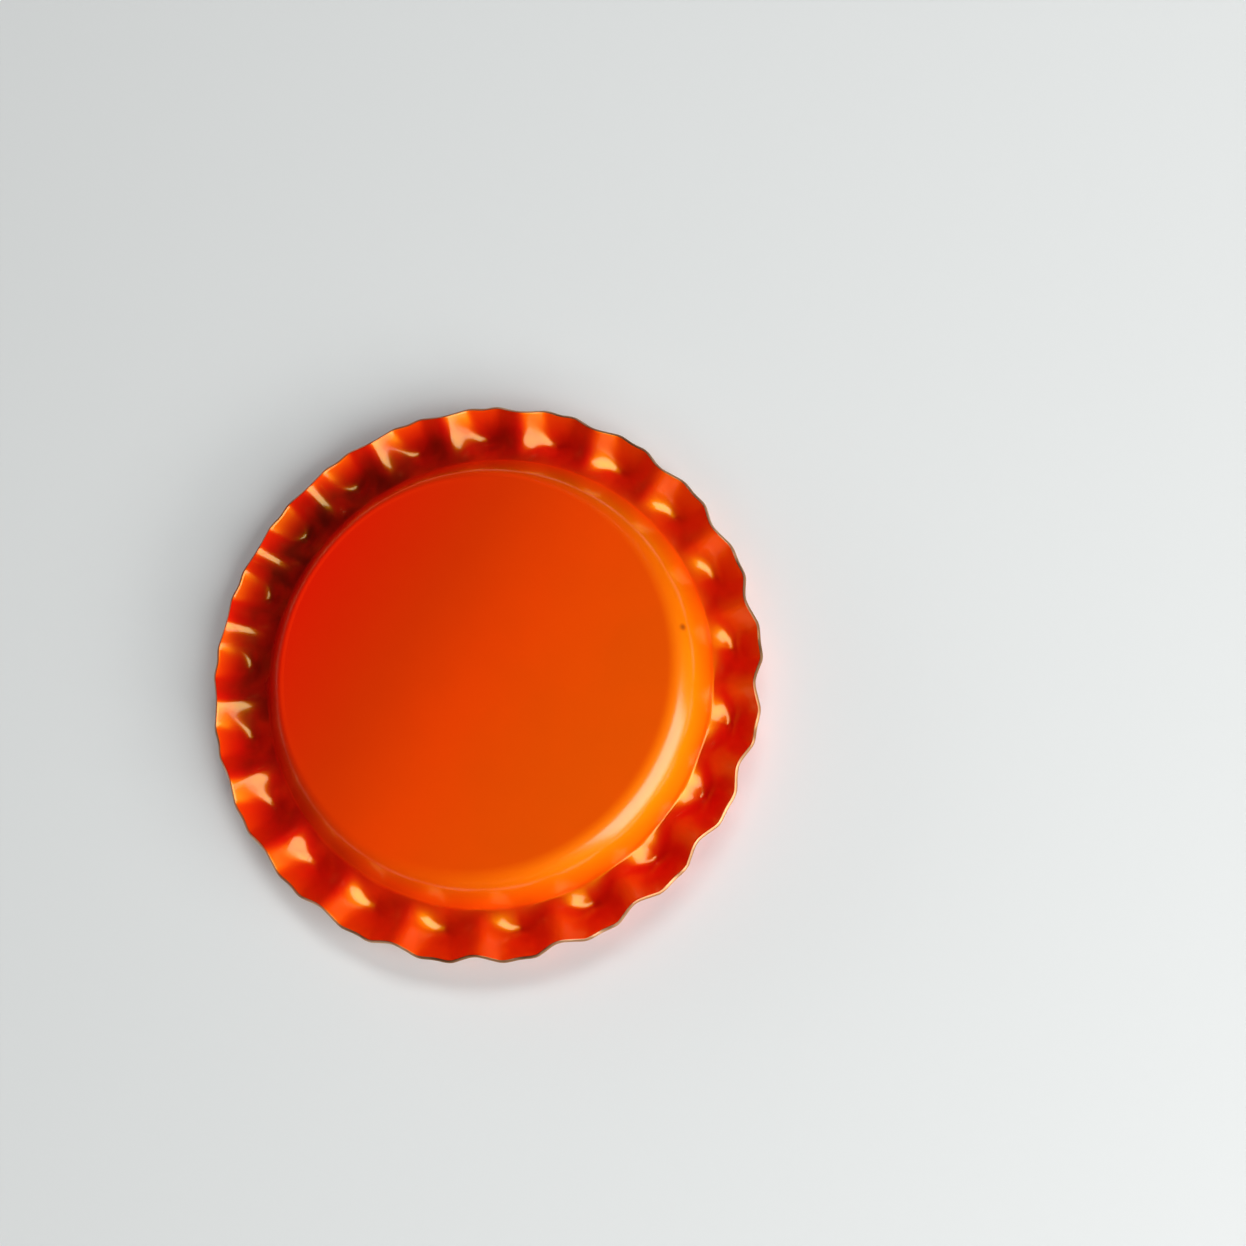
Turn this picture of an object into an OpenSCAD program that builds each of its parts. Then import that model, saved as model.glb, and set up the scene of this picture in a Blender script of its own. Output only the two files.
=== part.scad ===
// Flattened crown cap for craft work: one shell pressed from tinplate.
// A flat round panel stands on a sloping wall, and a fluted skirt is flattened out round it.
// +Z is the outside of the panel. The shell rests on the undersides of the skirt's channels at z = 0.
// All sizes are in millimetres and all angles in degrees.

/* [Sheet] */
// Diameter across the corners of the skirt's lobes
cap_d = 35; // [32:0.5:40]
// Thickness of the sheet
sheet = 0.24; // [0.18:0.01:0.3]
// Number of flutes round the skirt
flutes = 21; // [17:1:23]

/* [Panel and wall] */
// Height of the panel's outside above the lobe corners
panel_rise = 1.4; // [1:0.05:1.8]
// Width from the wall's foot to the lobe corners
skirt_w = 3.1; // [2.8:0.05:3.6]
// How far panel and wall lie off centre, towards their soft side
panel_shift = 0.2; // [0:0.05:0.4]
// Direction of the soft side, from +X
soft_dir = -28; // [-180:1:180]
// Depth of the wall's foot below the lobe corners
foot_drop = 1; // [0.7:0.05:1.3]
// Slope of the wall
wall_angle = 58; // [50:1:62]
// Radius of the rounding between panel and wall on the soft side
shoulder_soft = 2.1; // [1:0.1:2.2]
// Radius of the same rounding on the side across from it
shoulder_tight = 0.35; // [0.32:0.01:0.8]

/* [Channels] */
// Slope of the ramp that runs down and outwards from the wall's foot
ramp_angle = 34; // [28:1:38]
// Slope of a channel's floor at the edge of the skirt
floor_angle = 54; // [48:1:58]
// How fast the floor steepens inwards, as change of height for each square millimetre
floor_bow = 0.02; // [0:0.01:0.1]
// Height over which the fold between ramp and floor is rounded in mid channel
fold_blend = 1; // [0.6:0.1:1.2]
// How much wider that rounding grows up to a ridge's crest, as a share
fold_flare = 1.5; // [0:0.1:2]
// How far the edge draws in at the middle of a channel
channel_inset = 0.06; // [0:0.02:0.2]

/* [Ridges] */
// Height of a ridge's tip above the lobe corners
ridge_rise = 0.56; // [0.3:0.02:0.8]
// How far a ridge's tip lies inside the lobe corners
ridge_inset = 0.43; // [0.2:0.01:0.7]
// Slope of a ridge at the edge of the skirt
ridge_angle = 45; // [38:1:50]
// Height over which a ridge turns up from the wall's foot
ridge_blend = 1.2; // [0.6:0.1:1.4]

/* [Flanks, as shares of the pitch] */
// Half width of a ridge at the edge of the skirt
flank_edge = 0.318; // [0.26:0.002:0.36]
// Half width of a ridge at the wall's foot
flank_foot = 0.42; // [0.36:0.01:0.46]
// Rounding of a ridge's crest at the edge of the skirt
crest_edge = 0.13; // [0.06:0.005:0.15]
// Rounding of a ridge's crest at the wall's foot
crest_foot = 0.05; // [0.04:0.005:0.12]
// Rounding of the lobe corners at the edge of the skirt
corner_edge = 0.05; // [0.02:0.01:0.2]
// Rounding of the lobe corners at the wall's foot
corner_foot = 0.8; // [0.4:0.1:1]

/* [Hidden] */

edge_r = cap_d / 2;
pitch = 360 / flutes;
// Sum of the slopes on both sides of the fold
fold_sum = tan(ramp_angle) + tan(floor_angle);

// Steps of the mesh along the shoulder, the ramp, the fold and the floor
shoulder_steps = 5;
ramp_steps = 2;
fold_steps = 4;
floor_steps = 3;
// Least radial distance left between the fold's rounding and the foot or the edge
fold_room = 0.5;
// Lines across one flute, as shares of the pitch from a ridge: crest, flank, corner and lobe
half_lines = [0, flank_edge / 2, flank_edge, flank_edge / 2 + 0.25];
flute_lines = concat(half_lines, [0.5], [for (i = [len(half_lines) - 1 : -1 : 1]) 1 - half_lines[i]]);

// Maximum of a and b, rounded where they lie within k of each other
function soft_max(a, b, k) =
    let (h = max(k - abs(a - b), 0) / k)
    max(a, b) + h * h * k / 4;

// Positive part of x, rounded over e
function soft_part(x, e) = (x + sqrt(x * x + e * e)) / 2;

// One flute across its pitch: 1 on the crest, 0 in the middle of the channel
function flute(s, half_w, crest, corner) =
    let (
        far = soft_part(1 - sqrt(0.25 + crest ^ 2) / half_w, corner),
        near = soft_part(1 - crest / half_w, corner)
    )
    (soft_part(1 - sqrt(s * s + crest ^ 2) / half_w, corner) - far) / (near - far);

function mix(a, b, u) = a + (b - a) * u;

// Radius of the skirt's edge at the share s of a pitch from a ridge
function rim_r(s) =
    let (
        g = flute(s, flank_edge, crest_edge, corner_edge),
        m = max(abs(s) - flank_edge, 0) / (0.5 - flank_edge)
    )
    edge_r - ridge_inset * g - channel_inset * m * m * (3 - 2 * m);

// Radius of the wall's foot at angle a
function foot_r(a) = edge_r - skirt_w + panel_shift * cos(a - soft_dir);

// Width over which the fold is rounded where the flute stands at level g
function fold_width(g) = fold_blend * (1 + fold_flare * g);

// Height of the skirt's outside at radius r and share s, with the wall's foot at radius foot
function skirt_z(r, s, foot) =
    let (
        u = min((r - foot) / (edge_r - foot), 1),
        g = flute(s, mix(flank_foot, flank_edge, u), mix(crest_foot, crest_edge, u),
                  mix(corner_foot, corner_edge, u)),
        ramp = -foot_drop - (r - foot) * tan(ramp_angle),
        floor_z = -(edge_r - r) * tan(floor_angle) - floor_bow * (edge_r - r) ^ 2,
        slope = ridge_rise - (edge_r - ridge_inset - r) * tan(ridge_angle),
        channel = soft_max(ramp, floor_z, fold_width(g)),
        ridge = soft_max(-foot_drop, slope, ridge_blend)
    )
    mix(channel, ridge, g);

// Shoulder's rounding at angle a, as pairs of radius and height
function shoulder_line(a) =
    let (
        rounding = mix(shoulder_tight, shoulder_soft, (1 + cos(a - soft_dir)) / 2),
        drop = rounding * (1 - cos(wall_angle)),
        end = foot_r(a) - (panel_rise + foot_drop - drop) / tan(wall_angle),
        start = end - rounding * sin(wall_angle)
    )
    [for (i = [0 : shoulder_steps])
        let (t = wall_angle * i / shoulder_steps)
        [start + rounding * sin(t), panel_rise - rounding * (1 - cos(t))]];

// Radii at which the skirt is drawn, from the wall's foot to an edge at rim, with the flute at level g
function skirt_radii(foot, rim, g) =
    let (
        depth = foot_drop + (edge_r - foot) * tan(ramp_angle),
        inside = 2 * depth / (fold_sum + sqrt(fold_sum ^ 2 + 4 * floor_bow * depth)),
        half = fold_width(g) / (fold_sum + 2 * floor_bow * inside),
        fold = edge_r - inside,
        first = max(fold - half, foot + fold_room),
        last = min(fold + half, rim - fold_room)
    )
    concat(
        [for (i = [0 : ramp_steps]) mix(foot, first, i / ramp_steps)],
        [for (i = [1 : fold_steps]) mix(first, last, i / fold_steps)],
        [for (i = [1 : floor_steps]) mix(last, rim, i / floor_steps)]);

// Outside of the shell along one line from the panel to the edge, as points
function outer_line(i, s) =
    let (
        a = (i + s) * pitch,
        side = s > 0.5 ? s - 1 : s,
        level = flute(side, flank_edge, crest_edge, corner_edge),
        foot = foot_r(a),
        radii = skirt_radii(foot, rim_r(side), level),
        line = concat(shoulder_line(a), [for (r = radii) [r, skirt_z(r, side, foot)]])
    )
    [for (p = line) [p[0] * cos(a), p[0] * sin(a), p[1]]];

outer = [for (i = [0 : flutes - 1]) for (s = flute_lines) outer_line(i, s)];
lines = len(outer);
rings = len(outer[0]);

function unit(v) = v / norm(v);

// Inside of the shell at line i and ring k: the sheet's thickness below the outside,
// square to the faces on both sides of the ring
function inner_point(i, k) =
    let (
        around = outer[(i + 1) % lines][k] - outer[(i + lines - 1) % lines][k],
        p = outer[i][k],
        n0 = k == 0 ? [0, 0, 1] : unit(cross(p - outer[i][k - 1], around)),
        n1 = k == rings - 1 ? n0 : unit(cross(outer[i][k + 1] - p, around)),
        n = k == 0 ? n0 : unit(n0 + n1)
    )
    p - n * sheet / (n * n0);

inner = [for (i = [0 : lines - 1]) [for (k = [0 : rings - 1]) inner_point(i, k)]];
base_z = min([for (line = inner) for (p = line) p[2]]);

// Number of the point at line i and ring k, on the outside (side 0) or the inside (side 1)
function at(side, i, k) = (side * lines + i % lines) * rings + k;

function quads(side, turn) =
    [for (i = [0 : lines - 1]) for (k = [0 : rings - 2])
        let (q = [at(side, i, k), at(side, i, k + 1), at(side, i + 1, k + 1), at(side, i + 1, k)])
        for (t = [[q[0], q[1], q[2]], [q[0], q[2], q[3]]]) turn ? t : [t[2], t[1], t[0]]];

module cap_shell() {
    panel_out = [for (i = [lines - 1 : -1 : 0]) at(0, i, 0)];
    panel_in = [for (i = [0 : lines - 1]) at(1, i, 0)];
    cut_edge = [for (i = [0 : lines - 1])
        let (
            q = [at(0, i, rings - 1), at(0, i + 1, rings - 1),
                 at(1, i + 1, rings - 1), at(1, i, rings - 1)]
        )
        for (t = [[q[0], q[1], q[2]], [q[0], q[2], q[3]]]) t];
    color([0.86, 0.24, 0.02])
    translate([0, 0, -base_z])
        polyhedron(
            points = [for (side = [outer, inner]) for (line = side) for (p = line) p],
            faces = concat([panel_out, panel_in], quads(0, false), quads(1, true), cut_edge),
            convexity = 8);
}

cap_shell();
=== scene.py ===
"""A flattened crown cap: one pressed tinplate shell in glossy orange enamel, on a plain pale table."""

import logging
import math
from dataclasses import dataclass
from enum import Enum
from typing import Any

import bmesh
import bpy
from mathutils import Matrix, Vector


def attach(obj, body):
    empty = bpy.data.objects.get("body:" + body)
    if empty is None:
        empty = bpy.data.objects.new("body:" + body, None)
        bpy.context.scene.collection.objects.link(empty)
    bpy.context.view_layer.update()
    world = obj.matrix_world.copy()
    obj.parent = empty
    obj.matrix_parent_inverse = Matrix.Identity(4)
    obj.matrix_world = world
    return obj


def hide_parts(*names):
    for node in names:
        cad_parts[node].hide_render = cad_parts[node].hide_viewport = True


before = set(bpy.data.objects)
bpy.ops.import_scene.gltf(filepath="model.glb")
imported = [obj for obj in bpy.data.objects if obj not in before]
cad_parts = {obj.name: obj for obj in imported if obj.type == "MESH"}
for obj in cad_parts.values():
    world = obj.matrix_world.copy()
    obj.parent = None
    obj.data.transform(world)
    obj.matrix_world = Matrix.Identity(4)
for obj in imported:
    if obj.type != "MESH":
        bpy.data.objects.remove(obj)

LOG = logging.getLogger("crown_cap")
MM = 0.001
Span = tuple[float, float]
Colour = tuple[float, float, float]
Place = tuple[float, float, float]
Socket = bpy.types.NodeSocket


def mix(low: float, high: float, share: float) -> float:
    """Returns the value that lies the given share of the way from low to high."""
    return low + (high - low) * share


def held(share: float) -> float:
    """Returns a share kept between 0 and 1."""
    return min(max(share, 0.0), 1.0)


def eased(share: float) -> float:
    """Returns a share of 0 to 1, bent so that it sets off and arrives level."""
    return share * share * (3 - 2 * share)


def soft_max(first: float, second: float, blend: float) -> float:
    """Returns the larger of two heights, rounded where they meet.

    Args:
        first: One height.
        second: The other height.
        blend: How close the two are where the rounding starts.

    Returns:
        The rounded maximum, never below the true one.
    """
    near = max(blend - abs(first - second), 0.0) / blend
    return max(first, second) + near * near * blend / 4


def soft_part(value: float, rounding: float) -> float:
    """Returns the positive part of a value, rounded about zero."""
    return (value + math.sqrt(value * value + rounding * rounding)) / 2


@dataclass(frozen=True)
class Flank:
    """Shape of one flute across its pitch, in shares of the pitch.

    Args:
        half_width: Half width of the ridge.
        crest: Rounding of the ridge's crest.
        corner: Rounding where the flank runs out into the channel.
    """

    half_width: float
    crest: float
    corner: float

    def towards(self, other: "Flank", share: float) -> "Flank":
        """Works out a flank between this one and another.

        Args:
            other: The other flank.
            share: The share of the way to it.

        Returns:
            The flank in between.
        """
        return Flank(
            mix(self.half_width, other.half_width, share),
            mix(self.crest, other.crest, share),
            mix(self.corner, other.corner, share),
        )

    def _raw(self, offset: float) -> float:
        """Returns the flank's height before it is scaled to run from 0 to 1."""
        return soft_part(1 - math.hypot(offset, self.crest) / self.half_width, self.corner)

    def level(self, offset: float) -> float:
        """Returns 1 on the crest and 0 in mid channel, for an offset of -0.5 to 0.5 pitches."""
        low = self._raw(0.5)
        return (self._raw(offset) - low) / (self._raw(0.0) - low)


class Region(Enum):
    """The parts of the shell with a finish of their own, by material index."""

    PANEL_AND_WALL = 0
    SKIRT = 1
    CUT_EDGE = 2


class Layer(Enum):
    """Names of the values that the shell's points carry for the enamel."""

    # Strength of the sheen, painted to follow the light round the cap
    LUSTRE = "lustre"
    # Painted shade in the skirt's groove, darkest on the tight side
    GROOVE_SHADE = "grime"


@dataclass(frozen=True)
class CapShell:
    """The pressed shell: a flat panel on a sloping wall, with a fluted skirt opened out round it.

    The shoulder between panel and wall is widely rounded on the soft side and sharp on the tight
    side, across from it. Heights are counted from the lobe corners, which are the outermost points
    of the skirt, until the shell is lifted onto the table.
    """

    # Names of the solid that the shell replaces and of its body, and a name for its material slot,
    # which is not used
    node: str = "cap_shell"
    body: str = "root"
    slot: str = "enamelled_tinplate"

    # Sheet, overall size and the number of flutes
    sheet: float = 0.24 * MM
    edge_radius: float = 17.5 * MM
    flutes: int = 21

    # Panel, shoulder and wall, which lie a little off centre towards the soft side
    panel_rise: float = 1.4 * MM
    panel_shift: float = 0.2 * MM
    soft_heading: float = math.radians(-28)
    shoulder_soft: float = 2.1 * MM
    shoulder_tight: float = 0.35 * MM
    wall_angle: float = math.radians(58)
    foot_drop: float = 1.0 * MM
    foot_blend: float = 0.12 * MM

    # Brim by which the panel's edge stands above its middle; the higher its focus, the closer it
    # keeps to the tight side
    brim_rise: float = 0.035 * MM
    brim_width: float = 0.25 * MM
    brim_focus: float = 6.0

    # Channels of the skirt: a ramp runs down from the wall's foot to a rounded fold, and from there
    # the floor climbs to the edge, which is drawn in a little; the floor steepens inwards by its
    # bow, and the fold's rounding grows by the share of its flare up to a ridge's crest
    skirt_width: float = 3.1 * MM
    ramp_slope: float = math.tan(math.radians(34))
    floor_slope: float = math.tan(math.radians(54))
    floor_bow: float = 0.02 / MM
    fold_blend: float = 1.0 * MM
    fold_flare: float = 1.5
    channel_inset: float = 0.06 * MM

    # Ridges of the skirt, with their flanks at the wall's foot and at the edge
    ridge_rise: float = 0.56 * MM
    ridge_inset: float = 0.43 * MM
    ridge_slope: float = math.tan(math.radians(45))
    ridge_blend: float = 1.2 * MM
    foot_flank: Flank = Flank(0.42, 0.05, 0.8)
    edge_flank: Flank = Flank(0.318, 0.13, 0.05)

    # Lustre of the panel and the skirt, from the tight side to the soft side. The sheen is a real
    # reflection of the lights, but its strength round the cap is painted to follow them: strong where
    # the light falls, weak where the cap lies in shade
    panel_lustre: Span = (0.088, 0.58)
    skirt_lustre: Span = (0.24, 0.13)
    # Lustre of the skirt between those two sides, painted strong where its flanks catch the light
    flank_lustre: float = 0.58
    # Lustre of the wall, from the side away from its heading to the side towards it, which is painted
    # sheen where the light falls on the wall and painted shade across from it; the higher its focus,
    # the closer the bright part keeps to that heading
    wall_lustre: Span = (0.12, 1.0)
    wall_heading: float = math.radians(4)
    wall_focus: float = 0.6
    # Share of the wall's lustre that is left at its foot
    foot_lustre: float = 0.65
    # Distance over which the skirt's lustre takes over from the wall's; the lower the delay, the
    # sooner it does
    skirt_takeover: float = 1.0 * MM
    skirt_takeover_delay: float = 0.6

    # Painted shade in the skirt's groove, darkest on the tight side, away from the light: how far
    # inside the edge it starts and where it is full, how closely it keeps to the tight side, and how
    # fast it brings the lustre down to that of the skirt's soft side
    groove_shade_depth: Span = (0.1 * MM, 1.5 * MM)
    groove_shade_focus: float = 1.5
    groove_shade_dulling: float = 2.0

    # Mesh: rings in the panel, brim, shoulder, wall, crease and skirt, and lines across one flute
    band_steps: tuple[int, ...] = (4, 6, 14, 3, 8, 32)
    lines_per_flute: int = 28
    # Radius of the panel's innermost ring, and half the width of the crease at the wall's foot
    panel_hub: float = 1.5 * MM
    crease: float = 0.2 * MM
    # Radius of the flat blank's innermost ring; each band of the blank is one unit wide
    blank_hub: float = 1.0
    # Rounding of the cut edge
    edge_round: float = 0.035 * MM

    def _softness(self, angle: float) -> float:
        """Returns 1 towards the soft side, and -1 towards the tight side."""
        return math.cos(angle - self.soft_heading)

    def _tightness(self, angle: float) -> float:
        """Returns 0 towards the soft side, and 1 towards the tight side."""
        return (1 - self._softness(angle)) / 2

    def _foot_radius(self, angle: float) -> float:
        """Returns the radius of the wall's foot, round a panel that lies a little off centre."""
        return self.edge_radius - self.skirt_width + self.panel_shift * self._softness(angle)

    def _shoulder(self, angle: float) -> tuple[float, float, float]:
        """Works out the shoulder between the panel and the wall.

        Args:
            angle: Angle round the cap, from +X.

        Returns:
            The radius of the shoulder's rounding, and the radii where it begins and ends.
        """
        rounding = mix(self.shoulder_soft, self.shoulder_tight, self._tightness(angle))
        drop = rounding * (1 - math.cos(self.wall_angle))
        wall_run = (self.panel_rise + self.foot_drop - drop) / math.tan(self.wall_angle)
        end = self._foot_radius(angle) - wall_run
        return rounding, end - rounding * math.sin(self.wall_angle), end

    def _offset(self, angle: float) -> float:
        """Returns the distance from the nearest ridge, in pitches."""
        share = angle * self.flutes / math.tau
        return share - round(share)

    def _rim_radius(self, offset: float) -> float:
        """Works out where the skirt ends.

        Args:
            offset: Distance from the nearest ridge, in pitches.

        Returns:
            The radius of the skirt's edge, drawn in at the ridges and a little in mid channel.
        """
        level = self.edge_flank.level(offset)
        half = self.edge_flank.half_width
        lobe = max(abs(offset) - half, 0.0) / (0.5 - half)
        return self.edge_radius - self.ridge_inset * level - self.channel_inset * eased(lobe)

    def _panel_height(self, inside: float, angle: float) -> float:
        """Returns the panel's height at a distance inside its edge, below the brim."""
        brim = self.brim_rise * self._tightness(angle) ** self.brim_focus
        return self.panel_rise - brim * eased(min(inside / self.brim_width, 1.0))

    def _wall_height(self, radius: float, angle: float) -> float:
        """Works out the height of the panel, the shoulder and the wall.

        Args:
            radius: Distance from the cap's axis.
            angle: Angle round the cap, from +X.

        Returns:
            The height, which goes on falling at the wall's slope beyond its foot.
        """
        rounding, start, end = self._shoulder(angle)
        if radius <= start:
            return self._panel_height(start - radius, angle)
        if radius < end:
            return self.panel_rise - rounding + math.sqrt(rounding ** 2 - (radius - start) ** 2)
        return (self._foot_radius(angle) - radius) * math.tan(self.wall_angle) - self.foot_drop

    def _skirt_height(self, radius: float, angle: float) -> float:
        """Works out the height of the fluted skirt.

        Args:
            radius: Distance from the cap's axis.
            angle: Angle round the cap, from +X.

        Returns:
            The height, which levels out inside the wall's foot.
        """
        foot = self._foot_radius(angle)
        out = max(radius - foot, 0.0)
        inside = self.edge_radius - radius
        share = min(out / (self.edge_radius - foot), 1.0)
        level = self.foot_flank.towards(self.edge_flank, share).level(self._offset(angle))
        ramp = -self.foot_drop - out * self.ramp_slope
        floor = -inside * self.floor_slope - self.floor_bow * inside * inside
        rise = self.ridge_rise - (inside - self.ridge_inset) * self.ridge_slope
        channel = soft_max(ramp, floor, self.fold_blend * (1 + self.fold_flare * level))
        ridge = soft_max(-self.foot_drop, rise, self.ridge_blend)
        return mix(channel, ridge, level)

    def _height(self, radius: float, angle: float) -> float:
        """Returns the height of the shell's outside."""
        wall, skirt = self._wall_height(radius, angle), self._skirt_height(radius, angle)
        return soft_max(wall, skirt, self.foot_blend)

    def _marks(self, angle: float) -> list[float]:
        """Works out where the bands of rings meet.

        Args:
            angle: Angle round the cap, from +X.

        Returns:
            The radii that bound the panel, brim, shoulder, wall, crease and skirt.
        """
        foot = self._foot_radius(angle)
        _, start, end = self._shoulder(angle)
        rim = self._rim_radius(self._offset(angle))
        brim = start - self.brim_width
        return [self.panel_hub, brim, start, end, foot - self.crease, foot + self.crease, rim]

    def _stations(self) -> list[float]:
        """Returns the shell's rings as shares: each whole number starts the next of its bands."""
        rings = [band + i / steps for band, steps in enumerate(self.band_steps) for i in range(steps)]
        return rings + [float(len(self.band_steps))]

    def _place(self, station: float, angle: float) -> Vector:
        """Places one point of the shell's outside.

        Args:
            station: The ring, as its band's number and the share of the way across that band.
            angle: Angle round the cap, from +X.

        Returns:
            The point, with its height counted from the lobe corners.
        """
        marks = self._marks(angle)
        band = min(int(station), len(self.band_steps) - 1)
        radius = mix(marks[band], marks[band + 1], station - band)
        return Vector((radius * math.cos(angle), radius * math.sin(angle), self._height(radius, angle)))

    def _beyond_crease(self, radius: float, angle: float, reach: float) -> float:
        """Returns 0 on the panel and the wall, rising to 1 on the skirt over the given reach."""
        return held((radius - self._foot_radius(angle) + self.crease) / reach)

    def _groove_shade(self, radius: float, angle: float) -> float:
        """Works out how much painted shade lies in the skirt's groove.

        Args:
            radius: Distance from the cap's axis.
            angle: Angle round the cap, from +X.

        Returns:
            A share of 0 to 1, which is highest in the deep groove on the tight side.
        """
        low, high = self.groove_shade_depth
        sunk = held((self.edge_radius - radius - low) / (high - low))
        kept = self._tightness(angle) ** self.groove_shade_focus
        return self._beyond_crease(radius, angle, 2 * self.crease) * sunk * kept

    def _upper_lustre(self, radius: float, angle: float) -> float:
        """Works out the lustre of the enamel on the panel and the wall.

        Args:
            radius: Distance from the cap's axis.
            angle: Angle round the cap, from +X.

        Returns:
            A share of 0 to 1, which rises across the panel to its soft side, and on the wall towards
            the wall's heading: painted sheen where the light falls, and painted shade on the far side.
        """
        _, start, end = self._shoulder(angle)
        across = self._softness(angle) * min(radius / start, 1.0)
        quarter_wave = math.sin((1 + across) * math.pi / 4)
        panel = mix(*self.panel_lustre, quarter_wave)
        facing = (1 + math.cos(angle - self.wall_heading)) / 2
        wall = mix(*self.wall_lustre, facing ** self.wall_focus)
        lustre = mix(panel, wall, held((radius - start) / (end - start)))
        down = held((radius - end) / (self._foot_radius(angle) - end))
        return lustre * mix(1.0, self.foot_lustre, down)

    def _lower_lustre(self, radius: float, angle: float) -> float:
        """Works out the lustre of the enamel on the skirt.

        Args:
            radius: Distance from the cap's axis.
            angle: Angle round the cap, from +X.

        Returns:
            A share of 0 to 1, which is painted lower towards the soft and tight sides, where the skirt
            lies in shade, and brought lower still by the painted shade in the groove.
        """
        softness = self._softness(angle)
        tight, soft = self.skirt_lustre
        clean = mix(self.flank_lustre, soft if softness > 0 else tight, softness * softness)
        return mix(clean, soft, min(self.groove_shade_dulling * self._groove_shade(radius, angle), 1.0))

    def _lustre(self, radius: float, angle: float) -> float:
        """Returns the enamel's lustre, from that of the panel and wall to that of the skirt."""
        on_skirt = self._beyond_crease(radius, angle, self.skirt_takeover) ** self.skirt_takeover_delay
        return mix(self._upper_lustre(radius, angle), self._lower_lustre(radius, angle), on_skirt)

    def _spin_blank(self, mesh: bmesh.types.BMesh) -> None:
        """Spins the flat blank that the shell is pressed from, and closes its hub.

        Args:
            mesh: The empty mesh that the blank goes into.
        """
        section = [mesh.verts.new((self.blank_hub + station, 0, 0)) for station in self._stations()]
        edges = [mesh.edges.new(pair) for pair in zip(section, section[1:])]
        bmesh.ops.spin(
            mesh, geom=section + edges, axis=(0, 0, 1), cent=(0, 0, 0), angle=math.tau,
            steps=self.flutes * self.lines_per_flute, use_merge=True, use_duplicate=False,
        )
        hub = [
            edge for edge in mesh.edges
            if edge.is_boundary and edge.verts[0].co.length < self.blank_hub + 1
        ]
        bmesh.ops.edgeloop_fill(mesh, edges=hub)

    def _press_flutes(self, mesh: bmesh.types.BMesh) -> None:
        """Presses the blank into the outside of the shell, and gives its points their layers.

        Args:
            mesh: The mesh that holds the blank.
        """
        carried = {Layer.LUSTRE: self._lustre, Layer.GROOVE_SHADE: self._groove_shade}
        values = {mesh.verts.layers.float[layer.value]: value for layer, value in carried.items()}
        for vert in mesh.verts:
            angle = math.atan2(vert.co.y, vert.co.x)
            vert.co = self._place(vert.co.length - self.blank_hub, angle)
            for layer, value in values.items():
                vert[layer] = value(vert.co.xy.length, angle)

    def _part_skirt(self, mesh: bmesh.types.BMesh) -> None:
        """Gives the faces beyond the wall's foot the skirt's finish.

        Args:
            mesh: The mesh that holds the outside.
        """
        for face in mesh.faces:
            centre = face.calc_center_median().xy
            if centre.length > self._foot_radius(math.atan2(centre.y, centre.x)):
                face.material_index = Region.SKIRT.value

    def _face_upwards(self, mesh: bmesh.types.BMesh) -> None:
        """Turns the faces of the outside so that all of them point out of the shell.

        Args:
            mesh: The mesh that holds the outside.
        """
        bmesh.ops.recalc_face_normals(mesh, faces=mesh.faces[:])
        if sum(face.normal.z for face in mesh.faces) < 0:
            bmesh.ops.reverse_faces(mesh, faces=mesh.faces[:])
        mesh.normal_update()

    def _give_thickness(self, mesh: bmesh.types.BMesh) -> None:
        """Copies the outside to the sheet's inner face, and closes and rounds the cut edge.

        Args:
            mesh: The mesh that holds the outside.
        """
        rim = [edge for edge in mesh.edges if edge.is_boundary]
        outer = mesh.verts[:]
        copy = bmesh.ops.duplicate(mesh, geom=mesh.verts[:] + mesh.edges[:] + mesh.faces[:])
        inner_faces = [item for item in copy["geom"] if isinstance(item, bmesh.types.BMFace)]
        for vert in outer:
            copy["vert_map"][vert].co = vert.co - vert.normal * self.sheet
        bmesh.ops.reverse_faces(mesh, faces=inner_faces)
        inner_rim = [copy["edge_map"][edge] for edge in rim]
        cut = bmesh.ops.bridge_loops(mesh, edges=rim + inner_rim)["faces"]
        for face in cut:
            face.material_index = Region.CUT_EDGE.value
        bmesh.ops.bevel(
            mesh, geom=rim + inner_rim, offset=self.edge_round, offset_type="OFFSET", segments=2,
            profile=0.5, affect="EDGES", material=-1, clamp_overlap=True,
        )

    def build(self, materials: list[bpy.types.Material]) -> bpy.types.Object:
        """Builds the shell and puts it in place of the plain solid.

        Args:
            materials: One finish for each region, in the regions' order.

        Returns:
            The finished object, resting on the table at z = 0.
        """
        mesh = bmesh.new()
        for layer in Layer:
            mesh.verts.layers.float.new(layer.value)
        self._spin_blank(mesh)
        self._press_flutes(mesh)
        self._part_skirt(mesh)
        self._face_upwards(mesh)
        self._give_thickness(mesh)
        for face in mesh.faces:
            face.smooth = True
        lowest = min(vert.co.z for vert in mesh.verts)
        bmesh.ops.translate(mesh, verts=mesh.verts[:], vec=(0, 0, -lowest))
        data = bpy.data.meshes.new("enamelled_shell")
        mesh.to_mesh(data)
        mesh.free()
        for material in materials:
            data.materials.append(material)
        shell = bpy.data.objects.new("enamelled_shell", data)
        bpy.context.scene.collection.objects.link(shell)
        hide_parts(self.node)
        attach(shell, self.body)
        return shell


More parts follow.
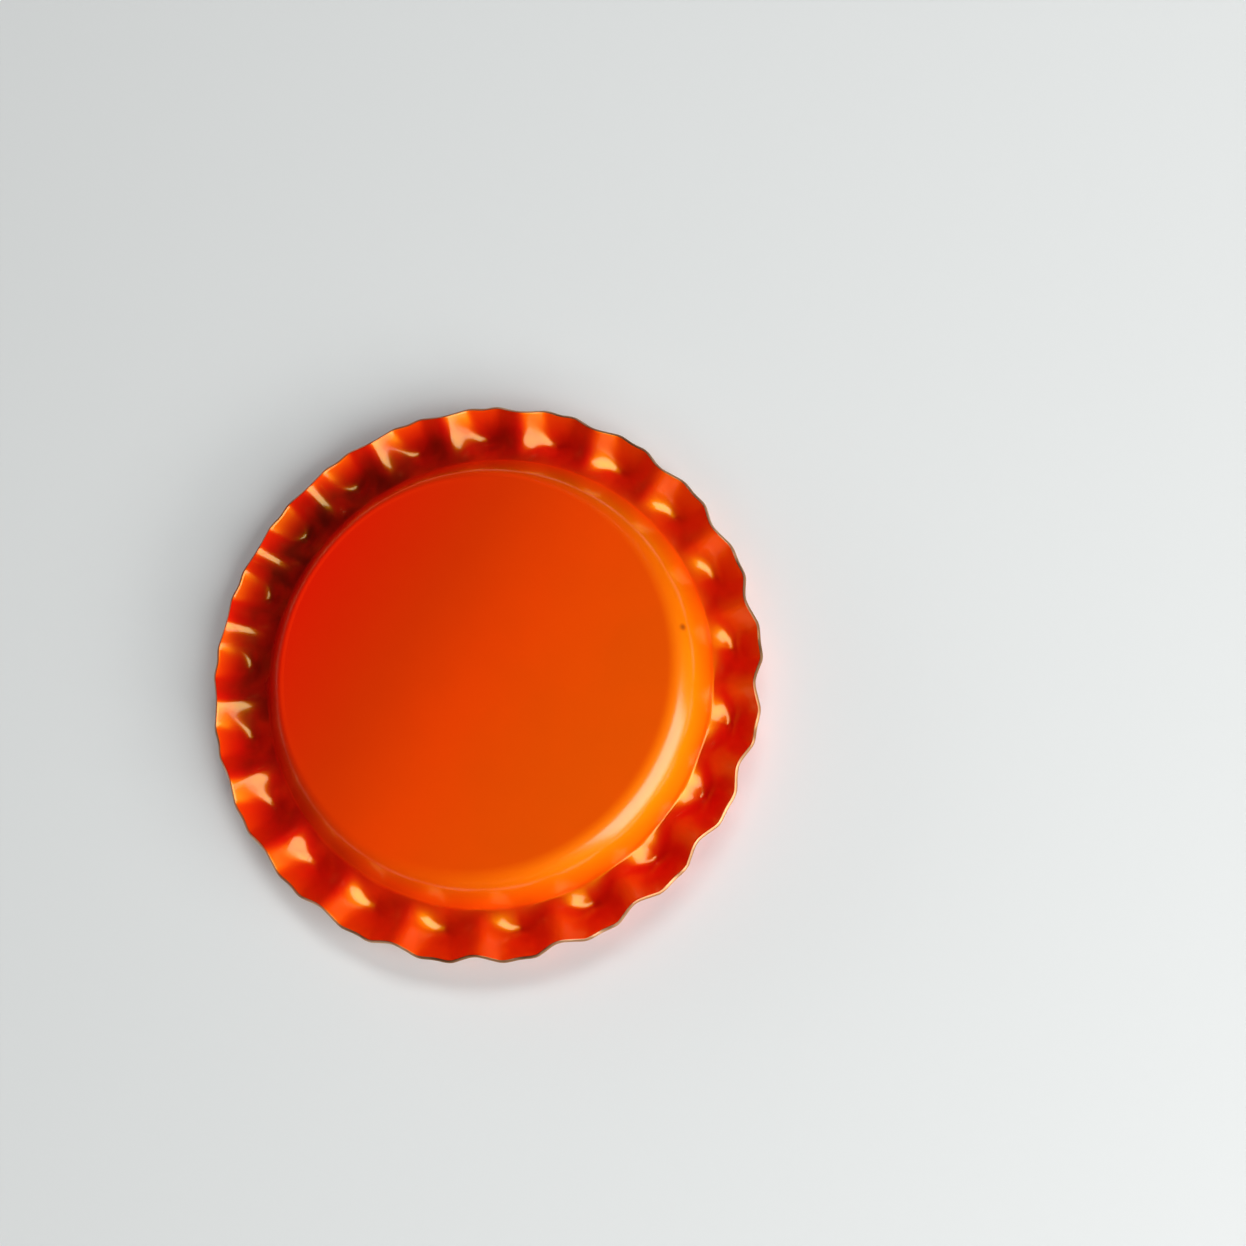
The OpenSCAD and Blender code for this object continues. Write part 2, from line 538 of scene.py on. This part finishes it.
class Sketch:
    """Adds linked nodes to one node tree."""

    def __init__(self, tree: bpy.types.NodeTree) -> None:
        """Keeps the tree that the nodes go into."""
        self.tree = tree

    def feed(self, socket: Socket, value: Any) -> None:
        """Fills one input of a node.

        Args:
            socket: The input.
            value: Another node's output, to be linked, or a plain value.
        """
        if isinstance(value, Socket):
            self.tree.links.new(value, socket)
        else:
            socket.default_value = value

    def add(self, kind: str, inputs: dict[str | int, Any], **settings: Any) -> bpy.types.Node:
        """Adds one node.

        Args:
            kind: The node's type, without its prefix.
            inputs: Plain values or sockets for its inputs, by name or by number.
            settings: Values for the node's own properties.

        Returns:
            The node.
        """
        node = self.tree.nodes.new("ShaderNode" + kind)
        for name, value in settings.items():
            setattr(node, name, value)
        for key, value in inputs.items():
            self.feed(node.inputs[key], value)
        return node

    def calc(self, operation: str, *values: Any) -> Socket:
        """Returns the outcome of one arithmetic step."""
        return self.add("Math", dict(enumerate(values)), operation=operation).outputs[0]

    def between(self, share: Socket, first: float, second: float) -> Socket:
        """Returns the value that lies the given share of the way from the first to the second."""
        return self.calc("MULTIPLY_ADD", share, second - first, first)

    def window(self, value: Socket, low: float, high: float, start: float, end: float) -> Socket:
        """Returns a value carried smoothly from low..high to start..end, and held outside it."""
        inputs = {"Value": value, "From Min": low, "From Max": high, "To Min": start, "To Max": end}
        return self.add("MapRange", inputs, interpolation_type="SMOOTHSTEP").outputs["Result"]

    def noise(self, place: Socket, scale: float, detail: float = 1.0) -> Socket:
        """Returns a cloudy value of about 0.3 to 0.7, with scale patches in a metre."""
        return self.add("TexNoise", {"Vector": place, "Scale": scale, "Detail": detail}).outputs["Fac"]

    def blend(self, share: Socket, first: Colour | Socket, second: Colour) -> Socket:
        """Blends two colours.

        Args:
            share: The share of the second colour.
            first: A colour, or the socket of one.
            second: The other colour.

        Returns:
            The blended colour.
        """
        node = self.add("Mix", {}, data_type="RGBA")
        sockets = {socket.name: socket for socket in node.inputs if socket.enabled}
        self.feed(sockets["Factor"], share)
        self.feed(sockets["A"], first if isinstance(first, Socket) else (*first, 1))
        self.feed(sockets["B"], (*second, 1))
        return next(socket for socket in node.outputs if socket.enabled)


@dataclass(frozen=True)
class HandlingMarks:
    """Clouding, smears, scratches and fine relief that all finishes share.

    Each scale is the number of patches, cells or pits in a metre.
    """

    name: str = "handling_marks"
    # Range of the noise that clouding and smears are drawn from
    noise_span: Span = (0.3, 0.7)
    cloud_scale: float = 190.0
    cloud_detail: float = 4.0
    smear_scale: float = 620.0
    smear_detail: float = 3.0
    # Scratches run along the borders of long cells, and only where a noise is high
    scratch_scale: float = 130.0
    scratch_stretch: Place = (1.0, 6.0, 1.0)
    scratch_turn: float = math.radians(35)
    scratch_width: float = 0.006
    scratch_patches: Span = (0.52, 0.6)
    peel_scale: float = 2400.0

    def _scratch(self, sketch: Sketch, place: Socket) -> Socket:
        """Draws the scratches.

        Args:
            sketch: The group's node tree under way.
            place: The position on the piece.

        Returns:
            1 along a scratch and 0 elsewhere.
        """
        turn = {"Vector": place, "Rotation": (0, 0, self.scratch_turn), "Scale": self.scratch_stretch}
        turned = sketch.add("Mapping", turn).outputs["Vector"]
        cells = {"Vector": turned, "Scale": self.scratch_scale, "Randomness": 1.0}
        border = sketch.add("TexVoronoi", cells, feature="DISTANCE_TO_EDGE").outputs["Distance"]
        line = sketch.window(border, 0.0, self.scratch_width, 1.0, 0.0)
        patches = sketch.noise(turned, self.scratch_scale)
        return sketch.calc("MULTIPLY", line, sketch.window(patches, *self.scratch_patches, 0.0, 1.0))

    def build(self) -> bpy.types.NodeTree:
        """Builds the shared node group.

        Returns:
            The group. It takes how high a finish's orange peel is and how deep its scratches are.
        """
        tree = bpy.data.node_groups.new(self.name, "ShaderNodeTree")
        for name in ("Peel", "Scratching"):
            tree.interface.new_socket(name, in_out="INPUT", socket_type="NodeSocketFloat")
        given = tree.nodes.new("NodeGroupInput").outputs
        sketch = Sketch(tree)
        place = sketch.add("TexCoord", {}).outputs["Object"]
        cloud = sketch.noise(place, self.cloud_scale, self.cloud_detail)
        smear = sketch.noise(place, self.smear_scale, self.smear_detail)
        scratch = self._scratch(sketch, place)
        peel = sketch.calc("MULTIPLY", sketch.noise(place, self.peel_scale), given["Peel"])
        groove = sketch.calc("MULTIPLY", scratch, given["Scratching"])
        outputs = {
            "Cloud": sketch.window(cloud, *self.noise_span, 0.0, 1.0),
            "Smear": sketch.window(smear, *self.noise_span, 0.0, 1.0),
            "Scratch": scratch,
            "Relief": sketch.calc("SUBTRACT", peel, groove),
        }
        for name in outputs:
            tree.interface.new_socket(name, in_out="OUTPUT", socket_type="NodeSocketFloat")
        result = tree.nodes.new("NodeGroupOutput")
        for name, value in outputs.items():
            sketch.feed(result.inputs[name], value)
        return tree


class Finish:
    """One material under way: its nodes, its shader and the marks that lie on it."""

    def __init__(self, name: str) -> None:
        """Makes the material, without any marks.

        Args:
            name: The material's name.
        """
        self.material = bpy.data.materials.new(name)
        self.material.use_nodes = True
        self.sketch = Sketch(self.material.node_tree)
        self.shader = self.material.node_tree.nodes["Principled BSDF"]
        self.marks: dict[str, Socket] = {}

    def mark(self, marks: bpy.types.NodeTree, peel: float, scratching: float) -> None:
        """Puts the shared handling marks into the material.

        Args:
            marks: The shared node group.
            peel: Height of this finish's orange peel, as a share of its relief.
            scratching: Depth of its scratches, as a share of its relief.
        """
        values = {"Peel": peel, "Scratching": scratching}
        group = self.sketch.add("Group", values, node_tree=marks)
        self.marks = {socket.name: socket for socket in group.outputs}

    def set(self, **inputs: Any) -> None:
        """Fills the shader's inputs, with an underscore for each space in their names."""
        for name, value in inputs.items():
            self.sketch.feed(self.shader.inputs[name.replace("_", " ")], value)

    def layer(self, layer: Layer) -> Socket:
        """Returns a value that the shell's points carry."""
        return self.sketch.add("Attribute", {}, attribute_name=layer.value).outputs["Fac"]

    def relief(self, height: Socket, depth: float, strength: float) -> Socket:
        """Returns the normal of a surface in relief, where a height of 1 is the depth in metres."""
        bump = {"Height": height, "Distance": depth, "Strength": strength}
        return self.sketch.add("Bump", bump).outputs["Normal"]


@dataclass(frozen=True)
class Enamel:
    """Glossy orange stove enamel on tinplate, as it lies on the panel and the wall.

    The red ground shows through a broad yellow sheen, whose strength is the lustre that the shell's
    points carry, and a thin clear coat over both gives the sharp highlights. The lustre, and the sheen
    and highlights that follow it, are painted stronger where the light falls, and the ground is painted
    darker where the lustre is low. Each pair runs from low lustre to high lustre.
    """

    name: str = "panel_enamel"
    # The ground: its colour, clouds in it, and the painted shade that darkens it as the lustre falls
    # through a range, which happens on the panel's tight side and on the wall's side away from its
    # heading
    colour: Colour = (0.95, 0.006, 0.001)
    clouded: Colour = (0.9, 0.005, 0.001)
    painted_shade: Colour = (0.72, 0.004, 0.001)
    painted_shade_lustre: Span = (0.3, 0.48)
    # The sheen
    sheen_tint: Colour = (1.0, 0.7, 0.0)
    sheen_ior: float = 3.6
    roughness: Span = (0.6, 0.78)
    smear_roughness: float = 0.02
    # The clear coat, whose weight changes as the lustre rises through a range
    coat_ior: float = 1.55
    coat_roughness: float = 0.19
    coat_weight: Span = (0.35, 1.0)
    coat_lustre: Span = (0.3, 0.8)
    scratch_wear: float = 0.3
    # Fine relief of orange peel and scratches
    relief_depth: float = 0.004 * MM
    relief_strength: float = 0.35
    peel: float = 0.12
    scratching: float = 1.0
    # One dark speck on the shoulder, which takes some of the lustre
    speck: Colour = (0.25, 0.012, 0.003)
    speck_dulling: float = 0.7
    speck_place: Place = (12.76 * MM, 3.11 * MM, 3.3 * MM)
    speck_radius: float = 0.36 * MM

    def _soil_and_shade(self, finish: Finish, clean: Socket) -> tuple[Socket, Socket | float]:
        """Puts one small speck on the shoulder.

        Args:
            finish: The material under way.
            clean: The colour of the clean enamel.

        Returns:
            The soiled colour, and the share of its lustre that the enamel keeps.
        """
        sketch = finish.sketch
        ends = {0: sketch.add("TexCoord", {}).outputs["Object"], 1: self.speck_place}
        away = sketch.add("VectorMath", ends, operation="DISTANCE").outputs["Value"]
        speck = sketch.window(away, 0.0, self.speck_radius, 1.0, 0.0)
        kept = sketch.between(speck, 1.0, 1.0 - self.speck_dulling)
        return sketch.blend(speck, clean, self.speck), kept

    def build(self, marks: bpy.types.NodeTree) -> bpy.types.Material:
        """Mixes the enamel.

        Args:
            marks: The shared handling marks.

        Returns:
            The enamel as a material.
        """
        finish = Finish(self.name)
        finish.mark(marks, self.peel, self.scratching)
        sketch = finish.sketch
        lustre = finish.layer(Layer.LUSTRE)
        ground = sketch.blend(finish.marks["Cloud"], self.colour, self.clouded)
        # Painted shade: the ground darkens where the lustre is low, on the side away from the light
        ground = sketch.blend(sketch.window(lustre, *self.painted_shade_lustre, 1.0, 0.0), ground, self.painted_shade)
        ground, kept = self._soil_and_shade(finish, ground)
        rough = sketch.between(lustre, *self.roughness)
        coat = sketch.window(lustre, *self.coat_lustre, *self.coat_weight)
        finish.set(
            Base_Color=ground, IOR=self.sheen_ior, Specular_Tint=(*self.sheen_tint, 1),
            Specular_IOR_Level=sketch.calc("MULTIPLY", lustre, kept),
            Roughness=sketch.calc("MULTIPLY_ADD", finish.marks["Smear"], self.smear_roughness, rough),
            Coat_Weight=sketch.calc("MULTIPLY_ADD", finish.marks["Scratch"], -self.scratch_wear, coat),
            Coat_IOR=self.coat_ior, Coat_Roughness=self.coat_roughness,
            Normal=finish.relief(finish.marks["Relief"], self.relief_depth, self.relief_strength),
        )
        return finish.material


@dataclass(frozen=True)
class SkirtEnamel(Enamel):
    """The same enamel on the skirt: its weak sheen is tight, its sheen is painted weak where the skirt
    lies in shade and strong on the lit flanks, and painted shade darkens its groove.
    """

    name: str = "skirt_enamel"
    colour: Colour = (0.92, 0.006, 0.002)
    clouded: Colour = (0.85, 0.006, 0.002)
    painted_shade_lustre: Span = (0.0, 0.1)
    roughness: Span = (0.2, 0.8)
    coat_roughness: float = 0.11
    coat_weight: Span = (0.5, 0.9)
    relief_depth: float = 0.012 * MM
    # Painted shade in the groove: its colour, how much of the ground it hides, and the range that its
    # patches run through
    painted_groove_shade: Colour = (0.12, 0.005, 0.002)
    groove_shade_share: float = 0.8
    groove_shade_patches: Span = (0.8, 1.2)

    def _soil_and_shade(self, finish: Finish, clean: Socket) -> tuple[Socket, Socket | float]:
        """Lays patchy painted shade into the groove. The lustre there is left as the points carry it.

        Args:
            finish: The material under way.
            clean: The colour of the enamel before the painted shade.

        Returns:
            The shaded colour, and the share of its lustre that the enamel keeps.
        """
        sketch = finish.sketch
        # Painted shade: patchy and darkest in the groove on the tight side, away from the light
        patchy = sketch.between(finish.marks["Smear"], *self.groove_shade_patches)
        groovedshading_share = sketch.calc("MULTIPLY", finish.layer(Layer.GROOVE_SHADE), self.groove_shade_share)
        return sketch.blend(sketch.calc("MULTIPLY", groovedshading_share, patchy), clean, self.painted_groove_shade), 1.0


@dataclass(frozen=True)
class BareTin:
    """Bare cut edge of the tinplate."""

    name: str = "bare_tin"
    colour: Colour = (0.85, 0.48, 0.26)
    tarnished: Colour = (0.5, 0.24, 0.1)
    roughness: float = 0.38
    smear_roughness: float = 0.15
    relief_depth: float = 0.006 * MM
    relief_strength: float = 0.5
    peel: float = 0.12
    scratching: float = 1.0

    def build(self, marks: bpy.types.NodeTree) -> bpy.types.Material:
        """Mixes the bare metal.

        Args:
            marks: The shared handling marks.

        Returns:
            The metal as a material.
        """
        finish = Finish(self.name)
        finish.mark(marks, self.peel, self.scratching)
        sketch = finish.sketch
        smear = finish.marks["Smear"]
        finish.set(
            Base_Color=sketch.blend(finish.marks["Cloud"], self.colour, self.tarnished),
            Roughness=sketch.calc("MULTIPLY_ADD", smear, self.smear_roughness, self.roughness),
            Metallic=1.0,
            Normal=finish.relief(finish.marks["Relief"], self.relief_depth, self.relief_strength),
        )
        return finish.material


@dataclass(frozen=True)
class TableTop:
    """Pale matt table top with a faint grain."""

    name: str = "pale_table"
    colour: Colour = (0.725, 0.745, 0.74)
    roughness: float = 0.7
    grain_scale: float = 900.0
    grain_detail: float = 2.0
    grain_depth: float = 0.02 * MM
    grain_strength: float = 0.1

    def build(self) -> bpy.types.Material:
        """Mixes the table top.

        Returns:
            The table top as a material.
        """
        finish = Finish(self.name)
        place = finish.sketch.add("TexCoord", {}).outputs["Object"]
        grain = finish.sketch.noise(place, self.grain_scale, self.grain_detail)
        normal = finish.relief(grain, self.grain_depth, self.grain_strength)
        finish.set(Base_Color=(*self.colour, 1), Roughness=self.roughness, Normal=normal)
        return finish.material


@dataclass(frozen=True)
class PanelLight:
    """One rectangular light that faces the cap.

    Args:
        name: The light's name.
        heading: Direction of the light from the cap, in degrees from +X.
        elevation: Height of the light above the table, in degrees.
        size: Width and height of the light, in metres.
        power: Power in watts.
        distance: Distance from the cap, in metres.
        mirrored: Whether glossy surfaces mirror the light, or only receive its glow.
    """

    name: str
    heading: float
    elevation: float
    size: Span
    power: float
    distance: float = 0.5
    mirrored: bool = True

    def build(self) -> None:
        """Hangs the light."""
        light = bpy.data.lights.new(self.name, "AREA")
        light.shape = "RECTANGLE"
        light.size, light.size_y = self.size
        light.energy = self.power
        lamp = bpy.data.objects.new(self.name, light)
        turn, climb = math.radians(self.heading), math.radians(self.elevation)
        level = math.cos(climb)
        away = Vector((level * math.cos(turn), level * math.sin(turn), math.sin(climb)))
        lamp.location = away * self.distance
        lamp.rotation_euler = away.to_track_quat("Z", "Y").to_euler()
        lamp.visible_glossy = self.mirrored
        bpy.context.scene.collection.objects.link(lamp)


@dataclass(frozen=True)
class Studio:
    """The table, the window, the lights that fill its shadows, and the faint light of the room."""

    # Half the length of the square table's side
    table_reach: float = 0.25
    # Direction of the window from the cap, in degrees from +X
    window_heading: float = -27.6
    # The room as the camera sees it behind the table, and as the cap and the table see it
    room_colour: Colour = (0.97, 1.0, 1.0)
    room_seen: float = 0.8
    room_light: float = 0.004

    def _table(self) -> None:
        """Lays the pale table under the cap."""
        mesh = bmesh.new()
        bmesh.ops.create_grid(mesh, x_segments=1, y_segments=1, size=self.table_reach)
        data = bpy.data.meshes.new("table")
        mesh.to_mesh(data)
        mesh.free()
        data.materials.append(TableTop().build())
        table = bpy.data.objects.new("table", data)
        bpy.context.scene.collection.objects.link(table)

    def _lights(self) -> tuple[PanelLight, ...]:
        """Places the lights round the cap.

        Returns:
            The window's two panes, which the enamel mirrors, and four lights that only fill.
        """
        window = self.window_heading
        return (
            PanelLight("window", window, 36, distance=0.4, size=(0.347, 0.267), power=1.58),
            PanelLight("low_window", window, 13, distance=0.4, size=(0.347, 0.067), power=0.26),
            PanelLight("low_fill", window, 15, size=(0.5, 0.075), power=1.2, mirrored=False),
            PanelLight("high_fill", 80, 50, size=(0.3, 0.12), power=0.95, mirrored=False),
            PanelLight("side_fill", -87.6, 28, size=(0.3, 0.12), power=0.32, mirrored=False),
            PanelLight("far_fill", 160, 10, size=(0.5, 0.08), power=0.65, mirrored=False),
        )

    def _room(self) -> None:
        """Lights the room faintly, and shows it pale to the camera."""
        world = bpy.data.worlds.new("room")
        bpy.context.scene.world = world
        world.use_nodes = True
        background = world.node_tree.nodes["Background"]
        background.inputs["Color"].default_value = (*self.room_colour, 1)
        sketch = Sketch(world.node_tree)
        seen = sketch.add("LightPath", {}).outputs["Is Camera Ray"]
        strength = sketch.between(seen, self.room_light, self.room_seen)
        sketch.feed(background.inputs["Strength"], strength)

    def build(self) -> None:
        """Builds the table, the lights and the room."""
        self._table()
        for light in self._lights():
            light.build()
        self._room()


@dataclass(frozen=True)
class ViewCamera:
    """The camera, close above the cap and a little to one side."""

    name: str = "view_camera"
    place: Place = (19.83 * MM, -11.39 * MM, 74.934 * MM)
    target: Place = (8.88 * MM, 3.44 * MM, 2.204 * MM)
    # Direction on the table that points up in the picture
    up_heading: float = math.radians(93.53)
    # Focal length and width of the film, in millimetres
    lens: float = 34.904
    film: float = 36.0
    nearest: float = 1 * MM

    def build(self) -> None:
        """Makes the scene's camera."""
        data = bpy.data.cameras.new(self.name)
        data.sensor_width = self.film
        data.lens = self.lens
        data.clip_start = self.nearest
        camera = bpy.data.objects.new(self.name, data)
        ahead = (Vector(self.target) - Vector(self.place)).normalized()
        upwards = Vector((math.cos(self.up_heading), math.sin(self.up_heading), 0))
        right = ahead.cross(upwards).normalized()
        turn = Matrix((right, right.cross(ahead), -ahead)).transposed()
        camera.matrix_world = Matrix.Translation(self.place) @ turn.to_4x4()
        bpy.context.scene.collection.objects.link(camera)
        bpy.context.scene.camera = camera


def main() -> None:
    """Builds the cap, its finishes, the table, the lights and the camera."""
    logging.basicConfig(level=logging.INFO, format="%(name)s: %(message)s")
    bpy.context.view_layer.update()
    marks = HandlingMarks().build()
    finishes = {
        Region.PANEL_AND_WALL: Enamel(),
        Region.SKIRT: SkirtEnamel(),
        Region.CUT_EDGE: BareTin(),
    }
    shell = CapShell().build([finishes[region].build(marks) for region in Region])
    LOG.info("%s has %d faces", shell.name, len(shell.data.polygons))
    Studio().build()
    ViewCamera().build()
    bpy.context.scene.view_settings.view_transform = "Standard"


if __name__ == "__main__":
    main()
